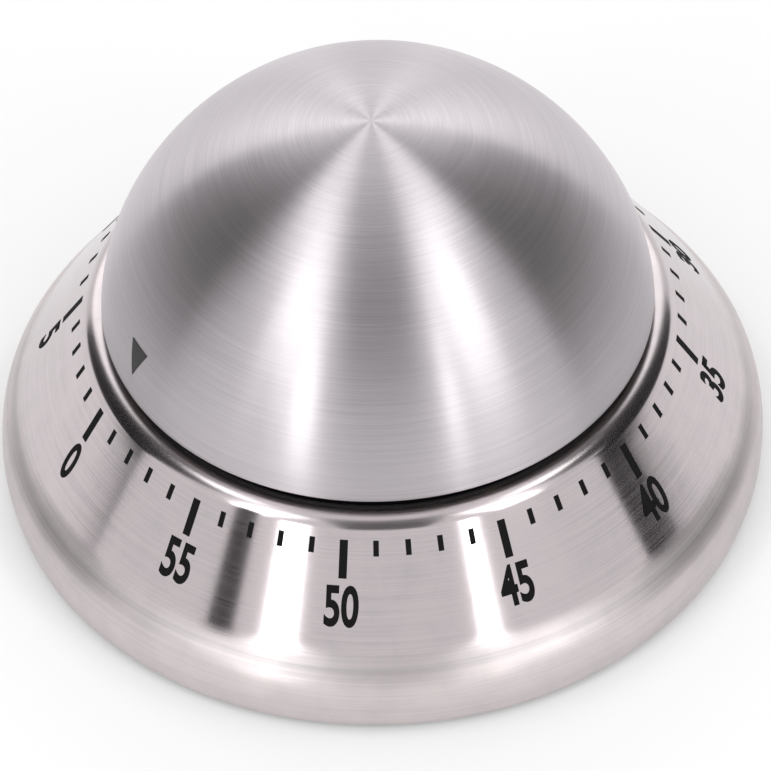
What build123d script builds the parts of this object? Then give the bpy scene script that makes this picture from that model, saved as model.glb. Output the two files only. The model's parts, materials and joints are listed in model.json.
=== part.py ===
"""Clockwork kitchen timer: spun dome on a cone-shaped base, with its movement.

Millimetres, +Z up, origin at the centre of the rubber foot's rest face.
The zero mark faces -Y and minutes run clockwise seen from above.
"""
from build123d import *
import os
from math import asin, atan2, cos, degrees, hypot, pi, radians, sin, sqrt, tan

os.makedirs("parts", exist_ok=True)

# ---- driving dimensions ----
SHEET = 0.6                    # spun steel thickness
FIT = 0.02                     # gap between pieces that are fixed together
RUN = 0.05                     # radial running clearance of a pivot

DOME_A, DOME_H = 28.7, 26.15   # dome radius at its rim, and height above the rim
DOME_RIM_Z, DOME_N = 22.6, 1.73  # rim height, and exponent of the height in the section's curve
DOME_STEPS = 13
MARK_TOP, MARK_LOW, MARK_HALF = 29.38, 25.76, 1.58  # pointer: base and apex heights, half its base
MARK_AZ = -85.8                # at rest the pointer stands a little past the zero mark

CONE_LOW = (38.5, 7.9)         # crease at the foot of the cone
CONE_TOP = (30.62, 20.3)       # where the cone meets its rolled shoulder
HEM = [(39.7, 0.8), (39.95, 2.2), (40.0, 4.2), (39.55, 6.3), CONE_LOW]
ROLL_R, ROLL_END = 2.2, 150.0  # shoulder radius, and the angle where the roll ends
CONE_SLOPE = degrees(atan2(CONE_TOP[1] - CONE_LOW[1], CONE_LOW[0] - CONE_TOP[0]))
ROLL_START = 90 - CONE_SLOPE

LINER = 1.5                    # housing wall
LINER_Z = 3.22
HEM_GAP = 0.2                  # between the hem's sheet and the liner's foot
COVER_BOSS_R, EAR_BOSS_R = 2.5, 2.0
DECK_LOW, DECK_TOP = 18.4, 19.3  # clear of the second wheel, and under the rolled lip
COLLAR_IN, COLLAR_OUT, COLLAR_TOP = 26.0, 26.6, 22.2

COVER_R, COVER_Z, COVER_T = 38.6, 1.6, 1.6
FOOT_IN, FOOT_OUT, FOOT_TOP = 31.0, 35.5, 2.0

PLATE_R, PLATE_T = 25.5, 0.8
LOWER_Z, UPPER_Z = 9.8, 23.2
EAR_R, EAR_AZ = 30.0, (60, 180, 300)
COVER_SCREW_R, COVER_SCREW_AZ = 28.5, (0, 120, 240)
PILLAR_R, PILLAR_AZ, PILLAR_D = 24.0, (3, 85, 175, 265), 2.6

LEAVES = 8                     # leaves of every pinion
MAIN_TEETH, MAIN_M = 72, 0.40
SECOND_TEETH, SECOND_M = 64, 0.32
THIRD_TEETH, THIRD_M = 60, 0.28
WHEEL_TOOTH, LEAF_TOOTH = 0.42, 0.36   # tooth thickness as a share of the pitch
FLANK_STEP = 0.28              # roll of the generating circle between flank points, radians
ESCAPE_TEETH, ESCAPE_TIP, ESCAPE_ROOT = 18, 6.6, 5.4
VERGE_DISTANCE = 8.6
SECOND_SHAFT, STRIKE_SHAFT = (0.9, 0.5), (0.9, 0.5)   # body and pivot radii of each arbor
THIRD_SHAFT, ESCAPE_SHAFT, VERGE_SHAFT = (0.7, 0.45), (0.6, 0.4), (0.6, 0.4)
MAIN_Z, SECOND_Z, THIRD_Z = (15.2, 16.2), (17.4, 18.0), (19.2, 19.7)   # bottom and top of each wheel
MAIN_PINION_Z, STRIKE_PINION_Z = (14.7, 16.8), (14.7, 16.7)
SECOND_PINION_Z, THIRD_PINION_Z = (16.9, 18.5), (18.8, 20.2)
ESCAPE_Z, LEVER_Z, BALANCE_Z = (20.8, 21.3), (21.5, 21.9), (22.0, 22.6)
MAINSPRING_Z, MAINSPRING_H = 11.2, 3.2
STAR_Z, STAR_TIP, STAR_ROOT = (12.2, 13.0), 3.0, 1.9
CLUTCH_Z, COLLAR_Z = (16.25, 16.55), (16.57, 17.2)
STOP_Z, CAM_Z = (24.42, 25.4), (25.42, 26.1)

ARBOR_R, DIAL_PIVOT_R = 2.0, 1.5
D_FLAT = 1.5                   # distance of the shaft's flat from its axis
BELL_R, BELL_Z, BELL_TOP, BELL_T = 22.5, 3.9, 7.7, 0.8
WASHER_TOP = BELL_Z + BELL_T + 0.4
HAMMER_R, HAMMER_AZ = 20.0, 195.0
HEAD_R, HEAD_AZ, HEAD_D = 25.4, 225.0, 3.0
STRIKE_AZ = 210.0
ARM_Z, ARM_W = 8.7, 1.4         # underside and width of the hammer arm
SPRING_ROOT, SPRING_TIP = 3.0, 9.6   # reach along the arm of the leaf spring's post and tip
SPRING_OUT, SPRING_T = 2.06, 0.2     # the leaf's distance from the arm's centre line, and its thickness
TAB_R, TAB_AZ, STOP_HALF_GAP = 9.0, 100.0, 6.0

TICK_IN_Z, MINOR_LOW_Z, MAJOR_LOW_Z = 19.55, 18.05, 16.05
MINOR_W, MAJOR_W, INK = 0.58, 0.85, 0.05
DIGIT_H, DIGIT_Z, DIGIT_SQUEEZE = 4.5, 13.6, 0.78

SECOND_AT_AZ = 300.0


def polar(r, az, z=0.0):
    """Point at radius r and azimuth az in degrees."""
    return (r * cos(radians(az)), r * sin(radians(az)), z)


def centre_distance(teeth, module):
    return (teeth + LEAVES) * module / 2


TRAIN_R = centre_distance(MAIN_TEETH, MAIN_M)


def next_azimuth(az, distance):
    """Azimuth of the next arbor on the train circle at the given distance."""
    return az + 2 * degrees(asin(distance / (2 * TRAIN_R)))


THIRD_AT_AZ = next_azimuth(SECOND_AT_AZ, centre_distance(SECOND_TEETH, SECOND_M))
ESCAPE_AT_AZ = next_azimuth(THIRD_AT_AZ, centre_distance(THIRD_TEETH, THIRD_M))
VERGE_AT_AZ = next_azimuth(ESCAPE_AT_AZ, VERGE_DISTANCE)
SECOND_AT, THIRD_AT = polar(TRAIN_R, SECOND_AT_AZ), polar(TRAIN_R, THIRD_AT_AZ)
ESCAPE_AT, VERGE_AT = polar(TRAIN_R, ESCAPE_AT_AZ), polar(TRAIN_R, VERGE_AT_AZ)
STRIKE_AT, HAMMER_AT = polar(TRAIN_R, STRIKE_AZ), polar(HAMMER_R, HAMMER_AZ)


def cyl(r, z0, z1, at=(0, 0)):
    return Pos(at[0], at[1], z0) * Cylinder(r, z1 - z0, align=(Align.CENTER, Align.CENTER, Align.MIN))


def tube(r_in, r_out, z0, z1, at=(0, 0)):
    return cyl(r_out, z0, z1, at) - cyl(r_in, z0 - 1, z1 + 1, at)


def bar(x0, x1, width, z0, z1):
    """Box along +X from x0 to x1, centred on the X axis."""
    return Pos((x0 + x1) / 2, 0, (z0 + z1) / 2) * Box(x1 - x0, width, z1 - z0)


def spun(outline):
    """Solid of revolution of a closed outline drawn in the XZ plane."""
    edges = [edge for line in outline for edge in line.edges()]
    return revolve(make_face(edges), Axis.Z)


def points(pairs):
    return [Vector(r, 0, z) for r, z in pairs]


def offset_inward(pairs, gap):
    """Outline points moved to the inner side by gap, square to the outline."""
    moved = []
    for i, (r, z) in enumerate(pairs):
        r0, z0 = pairs[max(i - 1, 0)]
        r1, z1 = pairs[min(i + 1, len(pairs) - 1)]
        run, rise = r1 - r0, z1 - z0
        length = hypot(run, rise)
        moved.append((r - gap * rise / length, z + gap * run / length))
    return moved


def write(node, shape):
    shape.label = node
    export_step(shape, f"parts/{node}.step")


# ---- case ----
def cone_r(z, gap=0.0):
    """Radius of the cone at height z, moved inward by gap."""
    slope = radians(CONE_SLOPE)
    return CONE_LOW[0] - (z - CONE_LOW[1]) / tan(slope) - gap / sin(slope)


def roll_point(gap, angle):
    """Point on the rolled shoulder, moved inward by gap."""
    start, turn = radians(ROLL_START), radians(angle)
    middle = (CONE_TOP[0] - ROLL_R * cos(start), CONE_TOP[1] - ROLL_R * sin(start))
    return Vector(middle[0] + (ROLL_R - gap) * cos(turn), 0, middle[1] + (ROLL_R - gap) * sin(turn))


def skirt_side(gap):
    """Edges of the skirt's side, moved inward by gap, with their first and last points."""
    low = offset_inward(HEM, gap)
    low[0] = (low[0][0], HEM[0][1])
    low[-1] = offset_inward([CONE_LOW, CONE_TOP], gap)[0]
    low = points(low)
    angles = (ROLL_START, (ROLL_START + ROLL_END) / 2, ROLL_END)
    start, middle, end = (roll_point(gap, angle) for angle in angles)
    return [Spline(*low), Line(low[-1], start), ThreePointArc(start, middle, end)], low[0], end


def skirt():
    outer, low_out, lip_out = skirt_side(0)
    inner, low_in, lip_in = skirt_side(SHEET)
    return spun(outer + [Line(lip_out, lip_in)] + inner + [Line(low_in, low_out)])


def liner_envelope():
    """Everything inside the skirt, up to the top of the deck."""
    crease = offset_inward([CONE_LOW, CONE_TOP], SHEET + FIT)[0]
    hem = offset_inward(HEM[2:4], SHEET + HEM_GAP)[0]
    outline = [(0, LINER_Z), (hem[0], LINER_Z), hem, crease, (cone_r(DECK_TOP, SHEET + FIT), DECK_TOP),
               (0, DECK_TOP)]
    return spun([Polyline(*points(outline), close=True)])


def housing():
    """Liner with its deck, a collar behind the shoulder, and screw bosses."""
    envelope = liner_envelope()
    crease = offset_inward([CONE_LOW, CONE_TOP], SHEET + LINER)[0]
    low_r, open_z = crease[0] + LINER * 0.4, LINER_Z - 1
    hollow = [(0, open_z), (low_r, open_z), (low_r, crease[1]), crease,
              (cone_r(DECK_LOW, SHEET + LINER), DECK_LOW), (0, DECK_LOW)]
    body = envelope - spun([Polyline(*points(hollow), close=True)])
    body += tube(COLLAR_IN, COLLAR_OUT, DECK_TOP - LINER / 2, COLLAR_TOP)
    body -= cyl(COLLAR_IN, 0, COLLAR_TOP + 1)
    for az in COVER_SCREW_AZ:
        at = polar(COVER_SCREW_R, az)
        body += cyl(COVER_BOSS_R, LINER_Z, DECK_LOW + LINER / 4, at) & envelope
        body -= cyl(1.1 + FIT, LINER_Z - 1, 10, at)
    for az in EAR_AZ:
        at = polar(EAR_R, az)
        body += cyl(EAR_BOSS_R, LOWER_Z + PLATE_T + FIT, DECK_LOW + LINER / 4, at) & envelope
        body -= cyl(0.9 + FIT, LOWER_Z, LOWER_Z + 7, at)
    return body


def bottom_cover():
    body = cyl(COVER_R, COVER_Z, COVER_Z + COVER_T)
    body -= tube(FOOT_IN - FIT, FOOT_OUT + FIT, COVER_Z - 1, FOOT_TOP)
    body += cyl(4.0, COVER_Z + COVER_T, BELL_Z - FIT)
    body -= cyl(1.0 + FIT, COVER_Z + 0.5, BELL_Z + 1)
    slot = Pos(15, 0, COVER_Z + COVER_T / 2) * extrude(SlotOverall(9, 1.8), COVER_T, both=True)
    for i in range(12):
        body -= Rot(0, 0, 30 * i) * slot
    for az in COVER_SCREW_AZ:
        body -= cyl(1.25, COVER_Z - 1, COVER_Z + COVER_T + 1, polar(COVER_SCREW_R, az))
    return body


def foot_ring():
    ring = tube(FOOT_IN, FOOT_OUT, 0, FOOT_TOP - FIT)
    return fillet(ring.edges().filter_by(GeomType.CIRCLE).group_by(Axis.Z)[0], 0.4)


def pan_screw(head_r, head_h, shank_r, length):
    """Slotted pan-head screw hanging down from z = 0, where its head rests."""
    head = fillet(cyl(head_r, 0, head_h).edges().group_by(Axis.Z)[-1], head_h * 0.45)
    slot = Pos(0, 0, head_h) * Box(2 * head_r + 1, head_r * 0.28, head_h * 0.8)
    return head + cyl(shank_r, -length, 0) - slot


def screws_at(screw, radius, azimuths, z, up=False):
    turned = Rot(180, 0, 0) * screw if up else screw
    return Compound([Pos(*polar(radius, az, z)) * turned for az in azimuths])


# ---- scale on the cone ----
def on_cone(minute, z):
    """Location on the cone: X to the scale's right, Y up the slope, Z outward."""
    return Rot(0, 0, -6 * minute) * Pos(0, -cone_r(z), z) * Rot(CONE_SLOPE, 0, 0)


def scale_ticks():
    ticks = []
    for minute in range(60):
        major = minute % 5 == 0
        low = MAJOR_LOW_Z if major else MINOR_LOW_Z
        width = MAJOR_W if major else MINOR_W
        length = (TICK_IN_Z - low) / sin(radians(CONE_SLOPE))
        ticks.append(on_cone(minute, (low + TICK_IN_Z) / 2) * Pos(0, 0, INK / 2) * Box(width, length, INK))
    return Compound(ticks)


def scale_numerals():
    marks = []
    for minute in range(0, 60, 5):
        text = Text(str(minute), font_size=DIGIT_H * 1.38, font_style=FontStyle.BOLD)
        squeezed = scale(text, by=(DIGIT_SQUEEZE, 1, 1))
        marks += (on_cone(minute, DIGIT_Z) * extrude(squeezed, INK)).solids()
    return Compound(marks)


# ---- bell ----
def bell():
    corner = 1.6
    outer = spun([Polyline(*points([(0, BELL_Z), (BELL_R, BELL_Z), (BELL_R, BELL_TOP), (0, BELL_TOP)]),
                           close=True)])
    outer = fillet(outer.edges().filter_by(GeomType.CIRCLE).group_by(Axis.Z)[0], corner)
    inner = cyl(BELL_R - BELL_T, BELL_Z + BELL_T, BELL_TOP + 1)
    inner = fillet(inner.edges().filter_by(GeomType.CIRCLE).group_by(Axis.Z)[0], corner - BELL_T)
    return outer - inner - cyl(1.1, 0, BELL_TOP)


# ---- plates ----
def plate_outline(z, pivots):
    body = cyl(PLATE_R, z, z + PLATE_T)
    for at, r in pivots:
        body -= cyl(r + RUN, z - 1, z + PLATE_T + 1, at)
    for az in PILLAR_AZ:
        body -= cyl(0.8 + FIT, z - 1, z + PLATE_T + 1, polar(PILLAR_R, az))
    return body


PIVOTS = [(SECOND_AT, SECOND_SHAFT[1]), (THIRD_AT, THIRD_SHAFT[1]), (ESCAPE_AT, ESCAPE_SHAFT[1]),
          (VERGE_AT, VERGE_SHAFT[1]), (STRIKE_AT, STRIKE_SHAFT[1])]


def lower_plate():
    body = cyl(PLATE_R, LOWER_Z, LOWER_Z + PLATE_T)
    for az in EAR_AZ:
        ear = bar(PLATE_R - 2, EAR_R, 5, LOWER_Z, LOWER_Z + PLATE_T)
        body += Rot(0, 0, az) * (ear + cyl(2.5, LOWER_Z, LOWER_Z + PLATE_T, (EAR_R, 0)))
        body -= cyl(1.1, LOWER_Z - 1, LOWER_Z + 2, polar(EAR_R, az))
    holes = plate_outline(LOWER_Z, PIVOTS + [((0, 0), DIAL_PIVOT_R), (HAMMER_AT, 0.6)])
    return body - (cyl(PLATE_R, LOWER_Z, LOWER_Z + PLATE_T) - holes)


def upper_plate():
    body = plate_outline(UPPER_Z, PIVOTS + [((0, 0), ARBOR_R), (HAMMER_AT, 0.5)])
    body -= Rot(0, 0, TAB_AZ) * bar(TAB_R + 1.0, TAB_R + 4.2, 3.0, UPPER_Z - 1, UPPER_Z + 2)
    tab = bar(TAB_R - 0.8, TAB_R + 0.8, 0.6, UPPER_Z, UPPER_Z + 2.2)
    return body + Rot(0, 0, TAB_AZ) * tab


def pillars():
    def pillar(az):
        at = polar(PILLAR_R, az)
        shaft = cyl(PILLAR_D / 2, LOWER_Z + PLATE_T, UPPER_Z, at)
        tenon = cyl(0.8, LOWER_Z - 0.2, LOWER_Z + PLATE_T, at)
        return shaft + tenon - cyl(0.7 + FIT, UPPER_Z - 4, UPPER_Z + 1, at)
    return Compound([pillar(az) for az in PILLAR_AZ])


# ---- gearing ----
def wheel_flank(teeth, module):
    """Epicycloid flank from the pitch circle outward, as (radius, turn) pairs."""
    pitch, roll = teeth * module / 2, LEAVES * module / 4
    flank = []
    for step in range(5):
        t = step * FLANK_STEP * roll / pitch
        x = (pitch + roll) * cos(t) - roll * cos((pitch + roll) / roll * t)
        y = (pitch + roll) * sin(t) - roll * sin((pitch + roll) / roll * t)
        flank.append((hypot(x, y), atan2(y, x)))
    return flank


def toothed_disc(teeth, root, flank, half, z0, z1):
    """Disc with teeth whose flanks start at the pitch circle half a tooth from centre."""
    step = 2 * pi / teeth
    outline = []
    for i in range(teeth):
        rise = [(root, -half)] + [(r, -half + turn) for r, turn in flank]
        outline += [(r, i * step + a) for r, a in rise]
        outline += [(r, i * step - a) for r, a in reversed(rise)]
    ring = [Vector(r * cos(a), r * sin(a), z0) for r, a in outline]
    return extrude(make_face(Polyline(*ring, close=True).edges()), z1 - z0)


def wheel(teeth, module, z0, z1, bore, rim, spokes, at, facing):
    """Wheel with crossed-out spokes and one tooth towards the azimuth facing."""
    pitch = teeth * module / 2
    half = WHEEL_TOOTH * pi / teeth
    body = toothed_disc(teeth, pitch - 0.75 * module, wheel_flank(teeth, module), half, z0, z1)
    hub = bore + 1.8
    body -= tube(hub, rim, z0 - 1, z1 + 1) - Compound([
        Rot(0, 0, 360 / spokes * i) * bar(hub - 0.5, rim + 0.5, 1.6, z0 - 1, z1 + 1) for i in range(spokes)])
    return Pos(at[0], at[1], 0) * Rot(0, 0, facing) * (body - cyl(bore + FIT / 2, z0 - 1, z1 + 1))


def pinion(module, z0, z1, at, facing):
    """Leafed pinion with a gap towards the azimuth facing."""
    pitch = LEAVES * module / 2
    half = LEAF_TOOTH * pi / LEAVES
    top = pitch * sin(half)
    flank = [(pitch, 0), (pitch + 0.6 * top, half * 0.3), (pitch + top, half * 0.75)]
    body = toothed_disc(LEAVES, pitch - 1.35 * module, flank, half, z0, z1)
    return Pos(at[0], at[1], 0) * Rot(0, 0, facing + 180 / LEAVES) * body


def arbor(at, body_r, pivot_r, z0=LOWER_Z + PLATE_T + 0.1, z1=UPPER_Z - 0.1):
    pivots = cyl(pivot_r, LOWER_Z - 0.1, UPPER_Z + PLATE_T + 0.1, at)
    return pivots + cyl(body_r, z0, z1, at)


def direction(a, b):
    return degrees(atan2(b[1] - a[1], b[0] - a[0]))


def main_wheel():
    return wheel(MAIN_TEETH, MAIN_M, *MAIN_Z, ARBOR_R, 12.6, 5, (0, 0), SECOND_AT_AZ)


def second_arbor():
    leaves = pinion(MAIN_M, *MAIN_PINION_Z, SECOND_AT, direction(SECOND_AT, (0, 0)))
    return arbor(SECOND_AT, *SECOND_SHAFT) + leaves


def second_wheel():
    facing = direction(SECOND_AT, THIRD_AT)
    return wheel(SECOND_TEETH, SECOND_M, *SECOND_Z, SECOND_SHAFT[0], 8.8, 4, SECOND_AT, facing)


def third_arbor():
    leaves = pinion(SECOND_M, *SECOND_PINION_Z, THIRD_AT, direction(THIRD_AT, SECOND_AT))
    return arbor(THIRD_AT, *THIRD_SHAFT) + leaves


def third_wheel():
    facing = direction(THIRD_AT, ESCAPE_AT)
    return wheel(THIRD_TEETH, THIRD_M, *THIRD_Z, THIRD_SHAFT[0], 7.0, 4, THIRD_AT, facing)


def escape_arbor():
    leaves = pinion(THIRD_M, *THIRD_PINION_Z, ESCAPE_AT, direction(ESCAPE_AT, THIRD_AT))
    return arbor(ESCAPE_AT, *ESCAPE_SHAFT) + leaves


def escape_wheel():
    step = 2 * pi / ESCAPE_TEETH
    ring = []
    for i in range(ESCAPE_TEETH):
        for r, share in ((ESCAPE_ROOT, 0.0), (ESCAPE_TIP, 0.34), (ESCAPE_TIP, 0.46), (ESCAPE_ROOT, 0.52)):
            ring.append(Vector(r * cos((i + share) * step), r * sin((i + share) * step), ESCAPE_Z[0]))
    body = extrude(make_face(Polyline(*ring, close=True).edges()), ESCAPE_Z[1] - ESCAPE_Z[0])
    body -= tube(2.2, 4.4, 20, 22) - Compound([
        Rot(0, 0, 90 * i) * bar(1.5, 5, 1.2, 20, 22) for i in range(4)])
    return Pos(ESCAPE_AT[0], ESCAPE_AT[1], 0) * (body - cyl(ESCAPE_SHAFT[0] + FIT / 2, 20, 22))


def pallet_lever():
    """Two-armed lever with a drop pin on each side of the escape wheel."""
    body = cyl(1.5, *LEVER_Z)
    pin_r, pin_az = 7.6, 45
    for side in (-1, 1):
        x, y = VERGE_DISTANCE - pin_r * cos(radians(pin_az)), side * pin_r * sin(radians(pin_az))
        reach, turn = hypot(x, y), degrees(atan2(y, x))
        body += Rot(0, 0, turn) * (bar(0, reach, 0.9, *LEVER_Z) + cyl(0.6, *LEVER_Z, (reach, 0))
                                   + cyl(0.35, LEVER_Z[0] - 1, LEVER_Z[0], (reach, 0)))
    body -= cyl(VERGE_SHAFT[0] + FIT / 2, 21, 22)
    return Pos(VERGE_AT[0], VERGE_AT[1], 0) * Rot(0, 0, direction(VERGE_AT, ESCAPE_AT)) * body


def balance_bar():
    reach = 6
    body = cyl(1.4, *BALANCE_Z) + bar(-reach, reach, 1.0, *BALANCE_Z)
    for side in (-1, 1):
        body += cyl(1.3, BALANCE_Z[0], BALANCE_Z[1] + 0.2, (side * reach, 0))
    body -= cyl(VERGE_SHAFT[0] + FIT / 2, 21, 23)
    return Pos(VERGE_AT[0], VERGE_AT[1], 0) * Rot(0, 0, VERGE_AT_AZ + 90) * body


# ---- power and clutch ----
def mainspring():
    """Flat spiral spring whose outer end is hooked on a post."""
    turns, inner, outer, strip = 7.5, 3.0, 10.6, 0.25
    steps = int(turns * 12)

    def coil(extra):
        line = []
        for i in range(steps + 1):
            r, turn = inner + extra + (outer - inner) * i / steps, 2 * pi * turns * i / steps
            line.append(Vector(r * cos(turn), r * sin(turn), MAINSPRING_Z))
        return line
    near, far = coil(0), coil(strip)
    sides = [Spline(*near), Line(near[-1], far[-1]), Spline(*far), Line(far[0], near[0])]
    face = make_face([edge for side in sides for edge in side.edges()])
    return extrude(face, MAINSPRING_H)


def spring_post():
    """Post riveted in the lower plate where the mainspring's outer coil ends."""
    return cyl(0.9, LOWER_Z + PLATE_T + FIT, 14.6, (-11.85, 0))


def clutch_spring():
    body = cyl(4.6, *CLUTCH_Z)
    for i in range(3):
        body -= Rot(0, 0, 120 * i) * cyl(1.0, 16, 17, (4.4, 0))
    return body - cyl(ARBOR_R + FIT / 2, 16, 17)


def clutch_collar():
    body = fillet(cyl(3.6, *COLLAR_Z).edges().group_by(Axis.Z)[-1], 0.2)
    return body - cyl(ARBOR_R + FIT / 2, 16, 18)


# ---- alarm ----
def strike_arbor():
    leaves = pinion(MAIN_M, *STRIKE_PINION_Z, STRIKE_AT, direction(STRIKE_AT, (0, 0)))
    return arbor(STRIKE_AT, *STRIKE_SHAFT) + leaves


def strike_star():
    ring = []
    for i in range(16):
        r = STAR_TIP if i % 2 else STAR_ROOT
        ring.append(Vector(r * cos(i * pi / 8), r * sin(i * pi / 8), STAR_Z[0]))
    body = extrude(make_face(Polyline(*ring, close=True).edges()), STAR_Z[1] - STAR_Z[0])
    body -= cyl(STRIKE_SHAFT[0] + FIT / 2, 12, 14)
    return Pos(STRIKE_AT[0], STRIKE_AT[1], 0) * body


def hammer_arbor():
    shoulder_z = LOWER_Z + PLATE_T + 0.1
    body = cyl(0.6, ARM_Z, shoulder_z, HAMMER_AT) + cyl(1.0, shoulder_z, UPPER_Z - 0.1, HAMMER_AT)
    tail = Rot(0, 0, direction(HAMMER_AT, STRIKE_AT)) * bar(0, 2.6, 0.9, *STAR_Z)
    return body + cyl(0.5, UPPER_Z - 0.1, UPPER_Z + PLATE_T + 0.1, HAMMER_AT) + Pos(*HAMMER_AT) * tail


def hammer_arm():
    head = polar(HEAD_R, HEAD_AZ)
    reach = hypot(head[0] - HAMMER_AT[0], head[1] - HAMMER_AT[1])
    body = bar(0, reach, ARM_W, ARM_Z, 9.3) + cyl(1.5, ARM_Z, 9.4) + cyl(1.3, ARM_Z, 9.3, (reach, 0))
    body -= cyl(0.6 + FIT / 2, 8, 10) + cyl(0.7, 8, 10, (reach, 0))
    return Pos(*HAMMER_AT) * Rot(0, 0, direction(HAMMER_AT, head)) * body


def hammer_head():
    at = polar(HEAD_R, HEAD_AZ)
    head = cyl(HEAD_D / 2, 5.0, ARM_Z - FIT, at)
    return fillet(head.edges().group_by(Axis.Z)[0], 0.4) + cyl(0.7 - FIT, ARM_Z - FIT, 9.5, at)


def hammer_spring():
    """Leaf spring under the lower plate, clear of the hammer arm over its whole swing."""
    head = polar(HEAD_R, HEAD_AZ)
    body = cyl(0.8, ARM_Z, LOWER_Z - FIT, (SPRING_ROOT, 0))
    body += bar(SPRING_ROOT, SPRING_TIP, SPRING_T, ARM_Z + 0.1, ARM_Z + 0.7)
    return Pos(*HAMMER_AT) * Rot(0, 0, direction(HAMMER_AT, head)) * Pos(0, -SPRING_OUT, 0) * body


# ---- dial ----
def dial_arbor():
    shoulder_z = LOWER_Z + PLATE_T + 0.1
    body = cyl(DIAL_PIVOT_R, LOWER_Z - 0.3, shoulder_z) + cyl(ARBOR_R, shoulder_z, 36.0)
    body += cyl(2.6, 10.8, 11.1) + cyl(2.8, 24.1, 24.4)
    return body - Pos(D_FLAT + 1, 0, 31.3) * Box(2, 6, 9.5)


def stop_arm():
    body = cyl(4.0, *STOP_Z) + bar(0, TAB_R + 0.6, 0.9, *STOP_Z)
    return Rot(0, 0, TAB_AZ - STOP_HALF_GAP) * (body - cyl(ARBOR_R + FIT / 2, 24, 26))


def alarm_cam():
    body = cyl(5.2, *CAM_Z) - Rot(0, 0, 40) * bar(4.2, 6, 1.6, 25, 27)
    return body - cyl(ARBOR_R + FIT / 2, 25, 27)


def dome_r(z, gap=0.0):
    """Radius of the dome at height z, moved inward by gap."""
    share = (z - DOME_RIM_Z) / (DOME_H - gap)
    return (DOME_A - gap) * sqrt(1 - share ** DOME_N)


def dome_solid(gap):
    """The dome filled solid, moved inward by gap."""
    tall, turns = DOME_H - gap, [pi / 2 * i / DOME_STEPS for i in range(DOME_STEPS)]
    curve = points([((DOME_A - gap) * cos(t), DOME_RIM_Z + tall * sin(t) ** (2 / DOME_N)) for t in turns]
                   + [(0.0, DOME_RIM_Z + tall)])
    shell = Spline(*curve, tangents=(Vector(0, 0, 1), Vector(-1, 0, 0)))
    base = Vector(0, 0, DOME_RIM_Z)
    return spun([shell, Line(curve[-1], base), Line(base, curve[0])])


def dome():
    return dome_solid(0) - dome_solid(SHEET)


def pointer_mark():
    """Inked triangle near the rim, pointing down at the zero mark."""
    near = DOME_A - 5
    corners = [(near, -MARK_HALF, MARK_TOP), (near, MARK_HALF, MARK_TOP), (near, 0, MARK_LOW)]
    outline = Polyline(*corners, close=True)
    prism = extrude(make_face(outline.edges()), 8, dir=(1, 0, 0))
    return Rot(0, 0, MARK_AZ) * ((dome_solid(-INK) - dome_solid(0)) & prism)


def dome_hub():
    """Moulded hub glued in the dome: ring, web with holes, ribs and a D-bored boss."""
    web_low, web_top = 29.3, 31.0
    heights = (DOME_RIM_Z + 1, 25.4, 27.4, web_low, web_top)
    outer = [(dome_r(z, SHEET) - FIT * 5, z) for z in heights]
    inner = [(r - 1.5, z) for r, z in outer[:4]]
    outline = outer + [(0, web_top), (0, web_low)] + inner[::-1]
    body = spun([Polyline(*points(outline), close=True)])
    body += cyl(5.0, 26.6, 36.4)
    for i in range(6):
        body += Rot(0, 0, 60 * i) * bar(4, 20, 1.2, 30.5, 34.0)
        body -= cyl(4.5, 29, 32, polar(14.5, 60 * i + 30))
    return body - (cyl(ARBOR_R + FIT, 26, 36.1) & Pos(-4 + D_FLAT + FIT, 0, 31) * Box(8, 8, 12))


def hub_clip():
    ring = Torus(5.3, 0.28)
    return Pos(0, 0, 27.4) * (ring - Pos(5, 0, 0) * Box(3, 1.5, 2))


def verge_arbor():
    return arbor(VERGE_AT, *VERGE_SHAFT)


# ---- fasteners ----
def cover_screws():
    return screws_at(pan_screw(2.0, 1.0, 1.1, 8.0), COVER_SCREW_R, COVER_SCREW_AZ, COVER_Z, up=True)


def movement_screws():
    return screws_at(pan_screw(1.8, 1.2, 0.9, 6.0), EAR_R, EAR_AZ, LOWER_Z, up=True)


def plate_screws():
    return screws_at(pan_screw(1.5, 0.9, 0.7, 3.6), PILLAR_R, PILLAR_AZ, UPPER_Z + PLATE_T)


def bell_washer():
    return tube(1.1, 2.8, BELL_Z + BELL_T + FIT, WASHER_TOP)


def bell_screw():
    return Pos(0, 0, WASHER_TOP + FIT) * pan_screw(2.2, 1.4, 1.0, 3.0)


NODES = [
    foot_ring, bottom_cover, cover_screws, skirt, housing, scale_ticks, scale_numerals, bell, bell_washer,
    bell_screw, lower_plate, upper_plate, pillars, plate_screws, movement_screws, main_wheel, second_arbor,
    second_wheel, third_arbor, third_wheel, escape_arbor, escape_wheel, verge_arbor, pallet_lever,
    balance_bar, mainspring, spring_post, clutch_spring, clutch_collar, strike_arbor, strike_star,
    hammer_arbor, hammer_arm, hammer_head, hammer_spring, dial_arbor, stop_arm, alarm_cam, dome,
    pointer_mark, dome_hub, hub_clip,
]

for make in NODES:
    write(make.__name__, make())
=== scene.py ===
"""Kitchen timer: a brushed steel dome turns on a polished steel cone that carries a minute scale.

Metres, +Z up, origin under the middle of the foot, zero mark towards -Y.
"""
import json
import logging
import math
from dataclasses import dataclass, field
from enum import Enum
from itertools import pairwise

import bpy
from mathutils import Matrix, Quaternion, Vector


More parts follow.
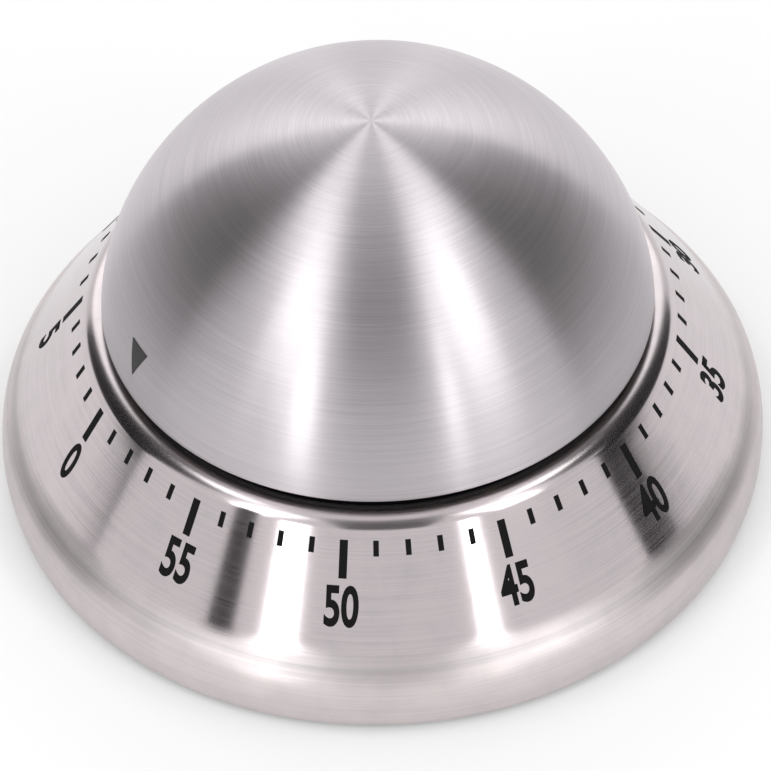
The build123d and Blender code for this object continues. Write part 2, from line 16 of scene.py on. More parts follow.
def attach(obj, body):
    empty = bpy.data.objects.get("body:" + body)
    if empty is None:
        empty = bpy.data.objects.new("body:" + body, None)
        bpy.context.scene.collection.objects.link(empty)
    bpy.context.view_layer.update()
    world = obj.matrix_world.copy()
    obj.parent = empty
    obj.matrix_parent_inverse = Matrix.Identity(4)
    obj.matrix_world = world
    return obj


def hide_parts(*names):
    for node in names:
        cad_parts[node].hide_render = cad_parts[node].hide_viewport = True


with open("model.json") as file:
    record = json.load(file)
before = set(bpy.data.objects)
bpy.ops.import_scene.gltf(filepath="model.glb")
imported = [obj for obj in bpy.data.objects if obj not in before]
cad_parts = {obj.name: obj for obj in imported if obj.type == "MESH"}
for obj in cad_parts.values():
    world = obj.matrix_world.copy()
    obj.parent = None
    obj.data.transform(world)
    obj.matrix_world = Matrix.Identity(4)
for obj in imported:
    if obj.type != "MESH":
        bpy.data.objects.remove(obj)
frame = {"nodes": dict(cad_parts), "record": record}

MM = 0.001
PRINT_THICK = 0.03 * MM
MERGE_GAP = 0.004 * MM
SMOOTH_BELOW = math.radians(50)
Outline = list[tuple[float, float]]
log = logging.getLogger("timer")


class Body(str, Enum):
    """The rigid bodies that the pieces ride on."""

    CASE = "case"
    DIAL = "dial"


# ---- shader maths ----
class Field:
    """A value that varies over a surface: a shader socket with arithmetic."""

    def __init__(self, graph: "Graph", socket: bpy.types.NodeSocket) -> None:
        """Wraps a socket of a graph."""
        self.graph = graph
        self.socket = socket

    def _math(self, operation: str, first: "Field | float", second: "Field | float") -> "Field":
        """Adds one Math node.

        Args:
            operation: the Math node's operation.
            first: left value.
            second: right value.

        Returns:
            The node's result.
        """
        return self.graph.add("ShaderNodeMath", {"operation": operation}, {0: first, 1: second})

    def __add__(self, other: "Field | float") -> "Field":
        """self + other."""
        return self._math("ADD", self, other)

    __radd__ = __add__

    def __sub__(self, other: "Field | float") -> "Field":
        """self - other."""
        return self._math("SUBTRACT", self, other)

    def __rsub__(self, other: "Field | float") -> "Field":
        """other - self."""
        return self._math("SUBTRACT", other, self)

    def __mul__(self, other: "Field | float") -> "Field":
        """self * other."""
        return self._math("MULTIPLY", self, other)

    __rmul__ = __mul__

    def __truediv__(self, other: "Field | float") -> "Field":
        """self / other."""
        return self._math("DIVIDE", self, other)

    def __pow__(self, other: "Field | float") -> "Field":
        """self ** other."""
        return self._math("POWER", self, other)

    def step(self, low: float, high: float) -> "Field":
        """Smooth step of the value from 0 at low to 1 at high.

        Args:
            low: where the step begins.
            high: where it ends.

        Returns:
            The step as a field.
        """
        settings = {"interpolation_type": "SMOOTHSTEP"}
        values = {"Value": self, "From Min": low, "From Max": high}
        return self.graph.add("ShaderNodeMapRange", settings, values)


class Graph:
    """A material's node tree and its one shader."""

    def __init__(self, name: str) -> None:
        """Starts a material with a Principled shader.

        Args:
            name: the material's name.
        """
        self.material = bpy.data.materials.new(name)
        self.material.use_nodes = True
        self.tree = self.material.node_tree
        self.shader = self.tree.nodes["Principled BSDF"]

    def feed(self, socket: bpy.types.NodeSocket, value: "Field | float | tuple") -> None:
        """Links a field to a socket, or sets a plain value on it.

        Args:
            socket: the input socket.
            value: a field to link, or a plain value.
        """
        if isinstance(value, Field):
            self.tree.links.new(value.socket, socket)
        else:
            socket.default_value = value

    def add(self, kind: str, settings: dict, values: dict, output: int | str = 0) -> Field:
        """Adds any node.

        Args:
            kind: the node's type.
            settings: its properties, set before its sockets.
            values: values or links for its input sockets, by name or index.
            output: which output is wanted.

        Returns:
            The output as a field.
        """
        node = self.tree.nodes.new(kind)
        for key, value in settings.items():
            setattr(node, key, value)
        for key, value in values.items():
            self.feed(node.inputs[key], value)
        return Field(self, node.outputs[output])

    def mix(self, factor: Field, low: "Field | tuple", high: "Field | tuple") -> Field:
        """Mixes two colours by a factor.

        Args:
            factor: share of the second colour.
            low: colour where the factor is 0.
            high: colour where it is 1.

        Returns:
            The mixed colour.
        """
        node = self.tree.nodes.new("ShaderNodeMix")
        node.data_type = "RGBA"
        sockets = {"Factor_Float": factor, "A_Color": low, "B_Color": high}
        for socket in node.inputs:
            if socket.identifier in sockets:
                self.feed(socket, sockets[socket.identifier])
        result = next(socket for socket in node.outputs if socket.identifier == "Result_Color")
        return Field(self, result)

    def set(self, **sockets: "Field | float | tuple") -> None:
        """Sets the shader's own sockets; a name's underscores stand for spaces."""
        for name, value in sockets.items():
            self.feed(self.shader.inputs[name.replace("_", " ")], value)

    def place(self) -> Field:
        """Object coordinates, in metres."""
        return self.add("ShaderNodeTexCoord", {}, {}, "Object")

    def axes(self) -> tuple[Field, Field, Field]:
        """The x, y and z of Object coordinates.

        Returns:
            The three fields, in metres.
        """
        node = self.tree.nodes.new("ShaderNodeSeparateXYZ")
        self.feed(node.inputs[0], self.place())
        return Field(self, node.outputs[0]), Field(self, node.outputs[1]), Field(self, node.outputs[2])

    def vector(self, x: "Field | float", y: "Field | float", z: "Field | float") -> Field:
        """A vector from three values."""
        return self.add("ShaderNodeCombineXYZ", {}, {0: x, 1: y, 2: z})

    def noise(self, where: Field, scale: float, detail: float = 2.0, roughness: float = 0.5) -> Field:
        """Noise value, about 0.3 to 0.7."""
        return self.add("ShaderNodeTexNoise", {}, {"Vector": where, "Scale": scale, "Detail": detail,
                                                   "Roughness": roughness})

    def bump(self, height: Field, strength: float, distance: float, under: "Field | None" = None) -> Field:
        """A normal roughened by a height.

        Args:
            height: the height field.
            strength: how much of the height shows.
            distance: the depth that a height of 1 stands for.
            under: a normal to roughen, in place of the surface's own.

        Returns:
            The normal.
        """
        values = {"Height": height, "Strength": strength, "Distance": distance}
        if under is not None:
            values["Normal"] = under
        return self.add("ShaderNodeBump", {}, values)


def grey(level: float) -> tuple[float, float, float, float]:
    """A neutral colour."""
    return (level, level, level, 1.0)


# ---- finishes ----
@dataclass(frozen=True)
class BrushedDome:
    """Stainless steel brushed in circles round the pole."""

    name: str = "dome_brushed_steel"
    pale: tuple = (0.61, 0.57, 0.595, 1)
    dull: tuple = (0.51, 0.477, 0.50, 1)
    roughness: float = 0.36
    directional: float = 0.95
    centre_z: float = 13 * MM

    def material(self) -> bpy.types.Material:
        """Builds the node material.

        Returns:
            The material.
        """
        graph = Graph(self.name)
        x, y, z = graph.axes()
        radius = (x * x + y * y) ** 0.5
        polar = graph.add("ShaderNodeMath", {"operation": "ARCTAN2"}, {0: radius, 1: z - self.centre_z})
        round_x, round_y = x / (radius + 1e-5), y / (radius + 1e-5)
        fine = graph.noise(graph.vector(round_x * 1.6, round_y * 1.6, polar * 520), 1.0, 3.0, 0.65)
        coarse = graph.noise(graph.vector(round_x * 0.9, round_y * 0.9, polar * 90), 1.0, 2.0)
        hairs = graph.noise(graph.vector(round_x * 7, round_y * 7, polar * 900), 1.0, 1.0).step(0.66, 0.74)
        smudge = graph.noise(graph.place(), 70.0, 3.0).step(0.45, 0.75)
        tone = fine * 0.95 + coarse * 0.28 - hairs * 0.30
        graph.set(Base_Color=graph.mix(tone.step(0.42, 0.82), self.dull, self.pale), Metallic=1.0,
                  Roughness=self.roughness + (coarse - 0.5) * 0.05 + smudge * 0.02,
                  Anisotropic=self.directional, Anisotropic_Rotation=0.25,
                  Normal=graph.bump(fine * 0.8 + hairs * 0.4, 0.06, 0.03 * MM))
        return graph.material


@dataclass(frozen=True)
class SkirtSteel:
    """Steel that is polished on the cone and satin below its crease."""

    name: str = "skirt_polished_steel"
    cone: tuple = (0.615, 0.55, 0.565, 1)
    satin: tuple = (0.69, 0.625, 0.63, 1)
    crease_z: float = 7.9 * MM
    roll_z: float = 20.3 * MM
    polished: float = 0.115
    dull: float = 0.40

    def material(self) -> bpy.types.Material:
        """Builds the node material.

        Returns:
            The material.
        """
        graph = Graph(self.name)
        x, y, z = graph.axes()
        radius = (x * x + y * y) ** 0.5
        round_x, round_y = x / radius, y / radius
        lines = graph.noise(graph.vector(round_x * 1.3, round_y * 1.3, z * 5200), 1.0, 3.0, 0.6)
        waves = graph.noise(graph.vector(round_x * 4, round_y * 4, z * 90), 1.0, 1.0)
        smear = graph.noise(graph.vector(round_x * 9, round_y * 9, z * 260), 1.0, 3.0, 0.6)
        upper = (z + (waves - 0.5) * 0.8 * MM).step(self.crease_z + 0.1 * MM, self.crease_z + 2.3 * MM)
        # painted shade: a narrow band along the crease is pulled towards dark grey in the colour
        crease_shade_falloff = 1 - (z - self.crease_z) ** 2.0 * (1 / (0.45 * MM) ** 2)
        painted_crease_shade = crease_shade_falloff.step(0.0, 1.0) * 0.22
        tone = graph.mix(upper, self.satin, self.cone)
        # the polishing lines and smears are real wear; the crease band mixed in with them is painted shade
        worn = graph.mix((lines * 0.6 + smear * 0.4).step(0.35, 0.75) * 0.42 + painted_crease_shade, tone, grey(0.40))
        roll = z.step(self.roll_z, self.roll_z + 0.8 * MM) * 0.10
        rough = self.dull - upper * (self.dull - self.polished) + (lines - 0.5) * 0.12 + smear * 0.05 + roll
        graph.set(Base_Color=worn, Metallic=1.0, Roughness=rough, Anisotropic=0.62, Anisotropic_Rotation=0.25,
                  Normal=graph.bump(lines * 0.5 + waves * 0.15, 0.10, 0.03 * MM))
        return graph.material


@dataclass(frozen=True)
class PlainMetal:
    """Machined or stamped metal with a faint mottle and fine grain."""

    name: str
    bright: tuple
    dark: tuple
    roughness: float
    grain: float = 900.0

    def material(self) -> bpy.types.Material:
        """Builds the node material.

        Returns:
            The material.
        """
        graph = Graph(self.name)
        place = graph.place()
        mottle = graph.noise(place, 160.0, 4.0, 0.6)
        grain = graph.noise(place, self.grain, 2.0)
        graph.set(Base_Color=graph.mix(mottle.step(0.35, 0.7), self.dark, self.bright), Metallic=1.0,
                  Roughness=self.roughness + (grain - 0.5) * 0.15 + (mottle - 0.5) * 0.1,
                  Normal=graph.bump(grain, 0.08, 0.05 * MM))
        return graph.material


@dataclass(frozen=True)
class Moulded:
    """Moulded plastic, rubber or fibre with a fine eroded texture."""

    name: str
    colour: tuple
    worn: tuple
    roughness: float
    texture: float = 1800.0
    depth: float = 0.25

    def material(self) -> bpy.types.Material:
        """Builds the node material.

        Returns:
            The material.
        """
        graph = Graph(self.name)
        place = graph.place()
        pits = graph.noise(place, self.texture, 3.0, 0.7)
        dust = graph.noise(place, 120.0, 4.0, 0.6)
        graph.set(Base_Color=graph.mix(dust.step(0.5, 0.8) * 0.6, self.colour, self.worn),
                  Roughness=self.roughness + (pits - 0.5) * 0.2,
                  Normal=graph.bump(pits, self.depth, 0.06 * MM))
        return graph.material


@dataclass(frozen=True)
class Ink:
    """Printed enamel with slight thin spots."""

    name: str
    colour: tuple
    thin: tuple
    roughness: float = 0.45

    def material(self) -> bpy.types.Material:
        """Builds the node material.

        Returns:
            The material.
        """
        graph = Graph(self.name)
        place = graph.place()
        specks = graph.noise(place, 2600.0, 3.0, 0.7)
        graph.set(Base_Color=graph.mix(specks.step(0.58, 0.78) * 0.7, self.colour, self.thin),
                  Roughness=self.roughness + (specks - 0.5) * 0.25, Specular_IOR_Level=0.12,
                  Normal=graph.bump(specks, 0.12, 0.02 * MM))
        return graph.material


# ---- shaping tools ----
def start_fresh() -> None:
    """Deselects everything, so that the next operator sees only its own piece."""
    bpy.ops.object.select_all(action="DESELECT")


def curve_through(points: Outline, per_span: int) -> Outline:
    """Smooth outline through a few points.

    Args:
        points: the shape's own points, in order.
        per_span: how many steps each span gets.

    Returns:
        The outline with both end points.
    """
    ends = [points[0], *points, points[-1]]
    smooth = []
    for i in range(len(points) - 1):
        a, b, c, d = (Vector(p) for p in ends[i:i + 4])
        for step in range(per_span):
            t = step / per_span
            square, cube = 2 * a - 5 * b + 4 * c - d, 3 * b - a - 3 * c + d
            at = 0.5 * (2 * b + (c - a) * t + square * t ** 2 + cube * t ** 3)
            smooth.append((at.x, at.y))
    return smooth + [points[-1]]


def shifted(points: Outline, gap: float) -> Outline:
    """An outline moved sideways by gap, towards the inner side.

    Args:
        points: the outline, in order.
        gap: how far it moves.

    Returns:
        The moved outline.
    """
    moved = []
    for i, (r, z) in enumerate(points):
        before, after = points[max(i - 1, 0)], points[min(i + 1, len(points) - 1)]
        run, rise = after[0] - before[0], after[1] - before[1]
        length = math.hypot(run, rise)
        moved.append((r - gap * rise / length, z + gap * run / length))
    return moved


def turned(name: str, outline: Outline, segments: int) -> bpy.types.Object:
    """Turns an outline of (radius, height) points about the upright axis.

    Args:
        name: the piece's name.
        outline: points in order; a closed shape repeats its first point.
        segments: steps round the axis.

    Returns:
        The smooth-shaded piece.
    """
    start_fresh()
    r, z = outline[0]
    bpy.ops.mesh.primitive_circle_add(vertices=segments, radius=r, location=(0, 0, z))
    piece = bpy.context.object
    piece.name = name
    bpy.ops.object.transform_apply(location=True)
    bpy.ops.object.mode_set(mode="EDIT")
    bpy.ops.mesh.select_all(action="SELECT")
    for (r0, z0), (r1, z1) in pairwise(outline):
        bpy.ops.mesh.extrude_region_move(TRANSFORM_OT_translate={"value": (0, 0, z1 - z0)})
        bpy.ops.transform.resize(value=(r1 / r0, r1 / r0, 1), center_override=(0, 0, z1))
    bpy.ops.mesh.select_all(action="SELECT")
    bpy.ops.mesh.remove_doubles(threshold=MERGE_GAP)
    bpy.ops.mesh.normals_make_consistent(inside=False)
    bpy.ops.object.mode_set(mode="OBJECT")
    bpy.ops.object.shade_smooth_by_angle(angle=SMOOTH_BELOW)
    return piece


def apply_all(piece: bpy.types.Object) -> None:
    """Applies a piece's modifiers.

    Args:
        piece: the piece, which keeps its place.
    """
    bpy.context.view_layer.objects.active = piece
    for modifier in list(piece.modifiers):
        bpy.ops.object.modifier_apply(modifier=modifier.name)


def lay_on(piece: bpy.types.Object, ground: bpy.types.Object, thickness: float) -> None:
    """Lays a flat print on a curved surface and gives it a thickness.

    Args:
        piece: the flat print, just outside the surface.
        ground: what it lies on.
        thickness: the print's thickness.
    """
    wrap = piece.modifiers.new("wrap", "SHRINKWRAP")
    wrap.target = ground
    wrap.wrap_method = "NEAREST_SURFACEPOINT"
    wrap.wrap_mode = "ABOVE_SURFACE"
    wrap.offset = thickness
    body = piece.modifiers.new("thickness", "SOLIDIFY")
    body.thickness = thickness * 0.8
    body.offset = -1
    apply_all(piece)


def join(pieces: list[bpy.types.Object], name: str) -> bpy.types.Object:
    """Joins pieces into one.

    Args:
        pieces: what is joined; the first takes in the rest.
        name: the joined piece's name.

    Returns:
        The joined piece.
    """
    start_fresh()
    for piece in pieces:
        piece.select_set(True)
    bpy.context.view_layer.objects.active = pieces[0]
    bpy.ops.object.join()
    pieces[0].name = name
    return pieces[0]


def dress(piece: bpy.types.Object, material: bpy.types.Material, body: Body, slot: str, *nodes: str) -> None:
    """Gives a piece its finish, its body and the CAD nodes it stands for.

    Args:
        piece: the finished piece.
        material: its finish.
        body: the body it rides on.
        slot: the record's material slot; not used.
        nodes: CAD nodes that it replaces.
    """
    piece.data.materials.clear()
    piece.data.materials.append(material)
    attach(piece, body.value)
    if nodes:
        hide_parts(*nodes)
    log.info("%s: %d faces on %s", piece.name, len(piece.data.polygons), body.value)


# ---- the dome ----
@dataclass
class Dome:
    """The spun steel dome that is turned by hand, and its pointer."""

    radius: float = 28.7 * MM
    height: float = 26.15 * MM
    rim_z: float = 22.6 * MM
    exponent: float = 1.73
    sheet: float = 0.6 * MM
    rings: int = 76
    segments: int = 224
    mark_top: float = 29.38 * MM
    mark_low: float = 25.76 * MM
    mark_half: float = 1.58 * MM
    mark_turn: float = 4.2
    mark_lift: float = 0.2 * MM
    mark_cuts: int = 14

    def curve(self, gap: float) -> Outline:
        """Section from near the pole down to just above the rim, moved inward by gap.

        Args:
            gap: how far inside the outer face.

        Returns:
            Points of radius and height, from the pole to the rim.
        """
        wide, tall, least = self.radius - gap, self.height - gap, 0.0015 * MM
        start = math.asin((self.sheet / 2 / tall) ** (self.exponent / 2))
        outline = []
        for i in range(self.rings + 1):
            t = math.pi / 2 - (math.pi / 2 - start) * i / self.rings
            r = wide * math.cos(t) if i else least
            outline.append((max(r, least), self.rim_z + tall * math.sin(t) ** (2 / self.exponent)))
        return outline

    def radius_at(self, z: float) -> float:
        """Outer radius of the dome at a height."""
        return self.radius * math.sqrt(1 - ((z - self.rim_z) / self.height) ** self.exponent)

    def build(self) -> bpy.types.Object:
        """Makes the dome with a rolled rim and dresses it.

        Returns:
            The dome.
        """
        outer, inner = self.curve(0.0), self.curve(self.sheet)
        rim_r = (outer[-1][0] + inner[-1][0]) / 2
        half = (outer[-1][0] - inner[-1][0]) / 2
        roll = [(rim_r + half * math.cos(a), outer[-1][1] - half * math.sin(a))
                for a in (math.radians(30 * k) for k in range(1, 6))]
        shell = turned("dome_shell", outer + roll + inner[::-1], self.segments)
        dress(shell, BrushedDome().material(), Body.DIAL, "dome_steel", "dome")
        return shell

    def pointer(self, shell: bpy.types.Object) -> None:
        """Makes the inked triangle that points down at the scale.

        Args:
            shell: the dome that it lies on.
        """
        start_fresh()
        bpy.ops.mesh.primitive_circle_add(vertices=3, radius=1, fill_type="NGON")
        mark = bpy.context.object
        mark.name = "pointer_triangle"
        bpy.ops.object.mode_set(mode="EDIT")
        bpy.ops.mesh.select_all(action="SELECT")
        bpy.ops.mesh.subdivide(number_cuts=self.mark_cuts)
        bpy.ops.object.mode_set(mode="OBJECT")
        high_r, low_r = self.radius_at(self.mark_top), self.radius_at(self.mark_low)
        rise, run = self.mark_top - self.mark_low, low_r - high_r
        tall = math.hypot(rise, run)
        middle = Vector((0, -(high_r + run / 3 + self.mark_lift), self.mark_top - rise / 3))
        shape = Matrix.Diagonal((self.mark_half / math.sin(math.pi / 3), -tall / 1.5, 1, 1))
        lean = Matrix.Rotation(math.atan2(rise, run), 4, "X")
        turn = Matrix.Rotation(math.radians(self.mark_turn), 4, "Z")
        mark.matrix_world = turn @ Matrix.Translation(middle) @ lean @ shape
        bpy.ops.object.transform_apply(location=True, rotation=True, scale=True)
        lay_on(mark, shell, PRINT_THICK)
        ink = Ink("pointer_ink", grey(0.035), grey(0.09), 0.5)
        dress(mark, ink.material(), Body.DIAL, "pointer_ink", "pointer_mark")


# ---- the skirt and its scale ----
@dataclass
class Skirt:
    """The spun steel base cone with its rolled shoulder. Its sizes are in millimetres."""

    hem: Outline = field(default_factory=lambda: [(39.62, 0.8), (39.93, 2.2), (40.0, 4.2), (39.6, 6.3)])
    crease: tuple[float, float] = (38.5, 7.9)
    cone_top: tuple[float, float] = (30.62, 20.3)
    roll_radius: float = 2.2
    roll_end: float = 150.0
    roll_steps: int = 26
    hem_steps: int = 6
    cone_steps: int = 8
    sheet: float = 0.6
    segments: int = 288

    def build(self) -> bpy.types.Object:
        """Makes the skirt as one closed turned shell and dresses it.

        Returns:
            The skirt.
        """
        low = curve_through(self.hem + [self.crease], self.hem_steps)
        cone = [tuple(Vector(self.crease).lerp(Vector(self.cone_top), t / self.cone_steps))
                for t in range(1, self.cone_steps)]
        outer = low + cone + self.roll()
        inner = shifted(outer, self.sheet)
        loop = outer + inner[::-1] + outer[:1]
        skirt = turned("skirt_shell", [(r * MM, z * MM) for r, z in loop], self.segments)
        dress(skirt, SkirtSteel().material(), Body.CASE, "skirt_steel", "skirt")
        return skirt

    def roll(self) -> Outline:
        """The rolled shoulder's section, from the cone over the crest to the lip.

        Returns:
            Points of radius and height, in millimetres.
        """
        start, end = math.pi / 2 - self.slope(), math.radians(self.roll_end)
        r = self.cone_top[0] - self.roll_radius * math.cos(start)
        z = self.cone_top[1] - self.roll_radius * math.sin(start)
        turns = [start + (end - start) * i / self.roll_steps for i in range(self.roll_steps + 1)]
        return [(r + self.roll_radius * math.cos(t), z + self.roll_radius * math.sin(t)) for t in turns]

    def slope(self) -> float:
        """The cone's slope above the horizontal, in radians."""
        (r0, z0), (r1, z1) = self.crease, self.cone_top
        return math.atan2(z1 - z0, r0 - r1)

    def place(self, z: float, minute: float, lift: float) -> Matrix:
        """Frame on the cone: X along the scale, Y up the slope, Z outward.

        Args:
            z: height of the frame's origin, in millimetres.
            minute: where on the scale.
            lift: distance outside the cone, in metres.

        Returns:
            The frame's matrix.
        """
        (r0, z0), slope = self.crease, self.slope()
        r = r0 - (z - z0) / math.tan(slope)
        turn = Matrix.Rotation(math.radians(-6 * minute), 4, "Z")
        lean = Matrix.Rotation(slope, 4, "X")
        return turn @ Matrix.Translation((0, -r * MM, z * MM)) @ lean @ Matrix.Translation((0, 0, lift))


@dataclass
class Scale:
    """Ticks and numerals printed on the skirt. Its sizes are in millimetres, a tick's as length and width."""

    skirt: Skirt
    tick_top: float = 19.55
    minor: tuple[float, float] = (1.67, 0.58)
    major: tuple[float, float] = (4.1, 0.85)
    digit_height: float = 4.5
    digit_z: float = 13.6
    squeeze: float = 0.62
    embolden: float = 0.056
    lift: float = 0.4
    strip: float = 0.35
    strips: int = 6

    def tick(self, minute: int) -> bpy.types.Object:
        """One tick, just off the cone.

        Args:
            minute: where on the scale.

        Returns:
            The flat tick.
        """
        length, width = self.major if minute % 5 == 0 else self.minor
        start_fresh()
        bpy.ops.mesh.primitive_grid_add(x_subdivisions=3, y_subdivisions=10, size=1)
        tick = bpy.context.object
        tick.scale = (width * MM, length * MM, 1)
        bpy.ops.object.transform_apply(scale=True)
        top = self.skirt.place(self.tick_top, minute, self.lift * MM)
        tick.matrix_world = top @ Matrix.Translation((0, -length * MM / 2, 0))
        bpy.ops.object.transform_apply(location=True, rotation=True)
        return tick

    def numeral(self, minute: int) -> bpy.types.Object:
        """One numeral as a mesh, just off the cone.

        Args:
            minute: its place on the scale, and what it says.

        Returns:
            The flat numeral.
        """
        start_fresh()
        bpy.ops.object.text_add()
        text = bpy.context.object
        text.data.body = str(minute)
        text.data.size = 1.0
        text.data.align_x = "CENTER"
        text.data.align_y = "CENTER"
        text.data.offset = self.embolden / 2
        text.data.resolution_u = 6
        bpy.ops.object.convert(target="MESH")
        size = text.dimensions
        middle = sum((Vector(c) for c in text.bound_box), Vector()) / 8
        grow = self.digit_height * MM / size.y
        shape = Matrix.Diagonal((grow * self.squeeze, grow, 1, 1)) @ Matrix.Translation(-middle)
        text.matrix_world = self.skirt.place(self.digit_z, minute, self.lift * MM) @ shape
        bpy.ops.object.transform_apply(location=True, rotation=True, scale=True)
        self.slice(text, minute)
        return text

    def slice(self, text: bpy.types.Object, minute: int) -> None:
        """Cuts a numeral into narrow strips so that it can bend round the cone.

        Args:
            text: the flat numeral.
            minute: its place on the scale.
        """
        seat = self.skirt.place(self.digit_z, minute, 0)
        across, origin = seat.to_3x3() @ Vector((1, 0, 0)), seat.translation
        bpy.ops.object.mode_set(mode="EDIT")
        for step in range(-self.strips, self.strips + 1):
            bpy.ops.mesh.select_all(action="SELECT")
            bpy.ops.mesh.bisect(plane_co=origin + across * step * self.strip * MM, plane_no=across)
        bpy.ops.object.mode_set(mode="OBJECT")

    def build(self, ground: bpy.types.Object) -> None:
        """Makes the whole scale and lays it on the skirt.

        Args:
            ground: the skirt that it lies on.
        """
        ticks = join([self.tick(minute) for minute in range(60)], "scale_tick_print")
        lay_on(ticks, ground, PRINT_THICK)
        numerals = join([self.numeral(minute) for minute in range(0, 60, 5)], "scale_numeral_print")
        lay_on(numerals, ground, PRINT_THICK)
        ink = Ink("scale_ink", grey(0.004), grey(0.012), 0.7).material()
        dress(ticks, ink, Body.CASE, "scale_ink", "scale_ticks")
        dress(numerals, ink, Body.CASE, "scale_ink", "scale_numerals")


# ---- the CAD nodes that stay ----
@dataclass(frozen=True)
class Workings:
    """Finishes for the CAD nodes that are shown as they are."""

    def finishes(self) -> dict[str, bpy.types.Material]:
        """One material for each of the record's slots that the nodes use.

        Returns:
            The materials, by slot.
        """
        zinc = PlainMetal("zinc_plate", (0.62, 0.63, 0.65, 1), (0.45, 0.46, 0.47, 1), 0.36)
        brass = PlainMetal("brass_stock", (0.80, 0.60, 0.26, 1), (0.62, 0.44, 0.17, 1), 0.30)
        blued = PlainMetal("blued_spring", (0.10, 0.12, 0.20, 1), (0.05, 0.06, 0.10, 1), 0.32)
        black = Moulded("black_moulding", (0.012, 0.012, 0.013, 1), (0.03, 0.03, 0.03, 1), 0.55)
        white = Moulded("white_moulding", (0.78, 0.77, 0.72, 1), (0.66, 0.64, 0.58, 1), 0.45)
        rubber = Moulded("foot_rubber", (0.018, 0.018, 0.018, 1), (0.05, 0.048, 0.045, 1), 0.8, 1400.0, 0.35)
        fibre = Moulded("fibre_washer", (0.36, 0.09, 0.05, 1), (0.25, 0.06, 0.04, 1), 0.7)
        made = {"zinc_steel": zinc, "brass": brass, "blued_steel": blued, "black_plastic": black,
                "white_plastic": white, "foot_rubber": rubber, "fibre": fibre}
        return {slot: finish.material() for slot, finish in made.items()}

    def dress_nodes(self) -> None:
        """Gives every shown CAD node the finish of its slot."""
        finishes = self.finishes()
        for part in frame["record"]["subparts"]:
            node = frame["nodes"][part["node"]]
            if node.hide_render:
                continue
            for slot in node.material_slots:
                slot.material = finishes[part["material_slot"]]
            log.info("%s: %s", part["node"], part["material_slot"])


# ---- the studio ----
@dataclass(frozen=True)
class Card:
    """A panel of the studio, square to the timer; azimuths are counted from the camera's."""

    name: str
    azimuth: float
    elevation: float
    width: float
    height: float
    level: float
    distance: float = 0.7


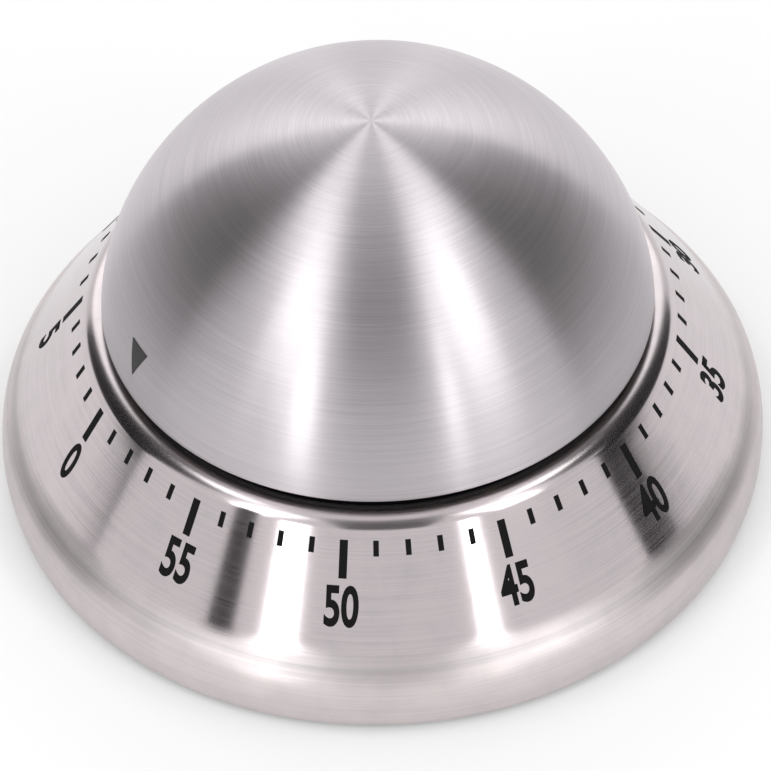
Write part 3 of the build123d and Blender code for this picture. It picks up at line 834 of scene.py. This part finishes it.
@dataclass
class Studio:
    """Camera, floor, soft lights and dark cards."""

    azimuth: float = 68.0
    elevation: float = 47.17
    distance: float = 0.9424
    aim_z: float = 7.27 * MM
    lens: float = 419.3
    roll: float = 2.08
    pan: float = -0.0005
    tilt: float = 0.0014
    sky: float = 0.89
    floor_size: float = 6
    floor_tone: float = 0.60
    floor_glow: float = 0.22
    softboxes: tuple[Card, ...] = (
        Card("key_left", -47, 42, 0.15, 0.50, 3.1),
        Card("key_right", 46, 42, 0.18, 0.50, 3.0),
        Card("strip_left", -30, 13, 0.10, 0.30, 5.0),
        Card("strip_right", 27, 13, 0.055, 0.30, 5.0),
        Card("high_left", -92, 65, 0.16, 0.09, 4.5, 0.55),
        Card("high_right", 92, 65, 0.16, 0.09, 4.5, 0.55),
        Card("back", 180, 40, 1.0, 0.5, 0.8),
    )
    flags: tuple[Card, ...] = (
        Card("flag_left", -108, 36, 0.66, 0.94, 0.02),
        Card("flag_right", 108, 36, 0.66, 0.94, 0.03),
        Card("flag_front", 0, 52, 0.34, 0.62, 0.15),
        Card("flag_slit", -46, 14, 0.075, 0.30, 0.02, 0.6),
        Card("flag_edge", 80, 12, 0.12, 0.24, 0.03, 0.6),
    )

    def direction(self, azimuth: float, elevation: float) -> Vector:
        """Unit vector from the timer, its azimuth counted from the camera's."""
        a, e = math.radians(self.azimuth + azimuth), math.radians(elevation)
        return Vector((math.sin(a) * math.cos(e), -math.cos(a) * math.cos(e), math.sin(e)))

    def camera(self) -> None:
        """Makes the camera."""
        data = bpy.data.cameras.new("camera")
        data.lens, data.sensor_width = self.lens, 36.0
        data.clip_start, data.clip_end = 0.01, 20.0
        camera = bpy.data.objects.new("camera", data)
        bpy.context.collection.objects.link(camera)
        away = self.direction(0, self.elevation)
        turn = away.to_track_quat("Z", "Y")
        turn @= Quaternion((0, 1, 0), self.pan) @ Quaternion((1, 0, 0), self.tilt)
        turn @= Quaternion((0, 0, 1), math.radians(-self.roll))
        camera.rotation_euler = turn.to_euler()
        camera.location = Vector((0, 0, self.aim_z)) + away * self.distance
        bpy.context.scene.camera = camera

    def floor(self) -> None:
        """Makes the pale floor."""
        start_fresh()
        bpy.ops.mesh.primitive_plane_add(size=self.floor_size, location=(0, 0, 0))
        floor = bpy.context.object
        floor.name = "floor"
        graph = Graph("floor_white")
        graph.set(Base_Color=grey(self.floor_tone), Roughness=0.9, Specular_IOR_Level=0.0,
                  Emission_Color=grey(1.0), Emission_Strength=self.floor_glow)
        floor.data.materials.append(graph.material)

    def softbox(self, card: Card) -> None:
        """Makes an area light that faces the timer.

        Args:
            card: where it stands, its size and its level.
        """
        data = bpy.data.lights.new(card.name, "AREA")
        data.shape = "RECTANGLE"
        data.size, data.size_y = card.width, card.height
        data.energy = card.level * card.width * card.height * math.pi
        light = bpy.data.objects.new(card.name, data)
        bpy.context.collection.objects.link(light)
        away = self.direction(card.azimuth, card.elevation)
        light.location = away * card.distance
        light.rotation_euler = away.to_track_quat("Z", "Y").to_euler()

    def flag(self, card: Card) -> None:
        """Makes a dark card that only reflections see.

        Args:
            card: where it stands, its size and its level.
        """
        start_fresh()
        bpy.ops.mesh.primitive_plane_add(size=1)
        flag = bpy.context.object
        flag.name = card.name
        away = self.direction(card.azimuth, card.elevation)
        flag.scale = (card.width, card.height, 1)
        flag.rotation_euler = away.to_track_quat("Z", "Y").to_euler()
        flag.location = away * card.distance
        flag.visible_camera = False
        flag.visible_diffuse = False
        flag.visible_shadow = False
        graph = Graph(card.name)
        graph.set(Base_Color=grey(0.0), Roughness=1.0, Specular_IOR_Level=0.0,
                  Emission_Color=grey(1.0), Emission_Strength=card.level)
        flag.data.materials.append(graph.material)

    def sky_light(self) -> None:
        """Sets an even light all round."""
        world = bpy.data.worlds.new("studio")
        world.use_nodes = True
        world.node_tree.nodes["Background"].inputs["Color"].default_value = grey(1.0)
        world.node_tree.nodes["Background"].inputs["Strength"].default_value = self.sky
        bpy.context.scene.world = world

    def build(self) -> None:
        """Makes the whole studio."""
        self.camera()
        self.floor()
        self.sky_light()
        for card in self.softboxes:
            self.softbox(card)
        for card in self.flags:
            self.flag(card)
        bpy.context.scene.view_settings.view_transform = "Standard"


def main() -> None:
    """Builds the timer and its studio."""
    logging.basicConfig(level=logging.INFO, format="%(name)s %(message)s")
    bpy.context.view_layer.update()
    dome = Dome()
    dome.pointer(dome.build())
    skirt = Skirt()
    Scale(skirt).build(skirt.build())
    Workings().dress_nodes()
    Studio().build()


if __name__ == "__main__":
    main()
